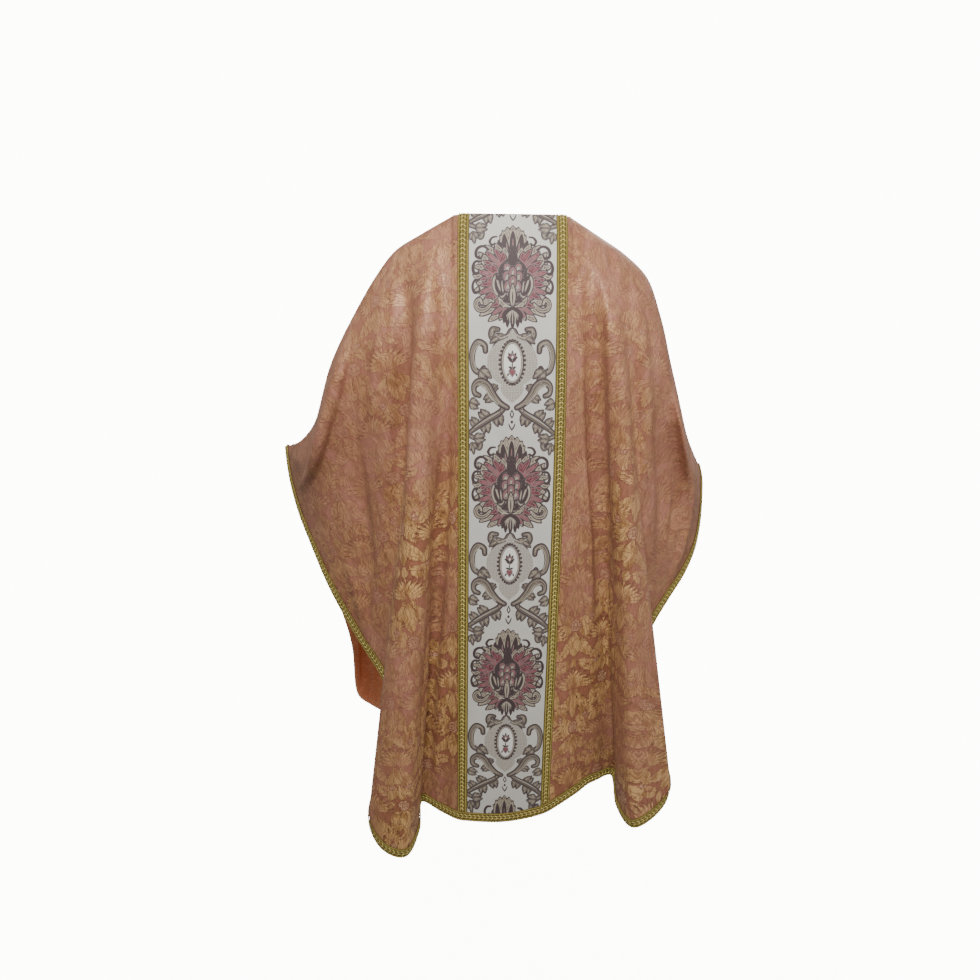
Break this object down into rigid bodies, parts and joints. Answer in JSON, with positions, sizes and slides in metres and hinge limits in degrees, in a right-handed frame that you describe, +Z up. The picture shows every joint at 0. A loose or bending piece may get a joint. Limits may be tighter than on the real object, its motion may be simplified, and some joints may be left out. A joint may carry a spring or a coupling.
{
  "type": "gothic chasuble",
  "caption": "Wide sleeveless vestment of damask, draped as worn with the arms held out, with a woven orphrey band between gold braids down the back and front.",
  "frame": {"origin": "middle of the neck opening at shoulder height, where the garment rests on its wearer", "axes": "+Z up, the wearer faces -Y, +X to the wearer's left"},
  "size_m": [0.9328, 0.4612, 1.2549],
  "materials": {
    "damask": "satin damask, gold-tan foliage on dusty rose, orange on its wrong side",
    "orphrey": "ivory jacquard band with taupe and rose damask medallions",
    "gold_braid": "plaited gold galloon with a row of eyelets"
  },
  "bodies": {
    "root": {"back_panel": "damask", "front_panel": "damask", "back_orphrey": "orphrey", "front_orphrey": "orphrey", "back_braid_left": "gold_braid", "back_braid_right": "gold_braid", "back_hem_braid": "gold_braid", "front_braid_left": "gold_braid", "front_braid_right": "gold_braid", "front_hem_braid": "gold_braid"}
  },
  "joints": []
}
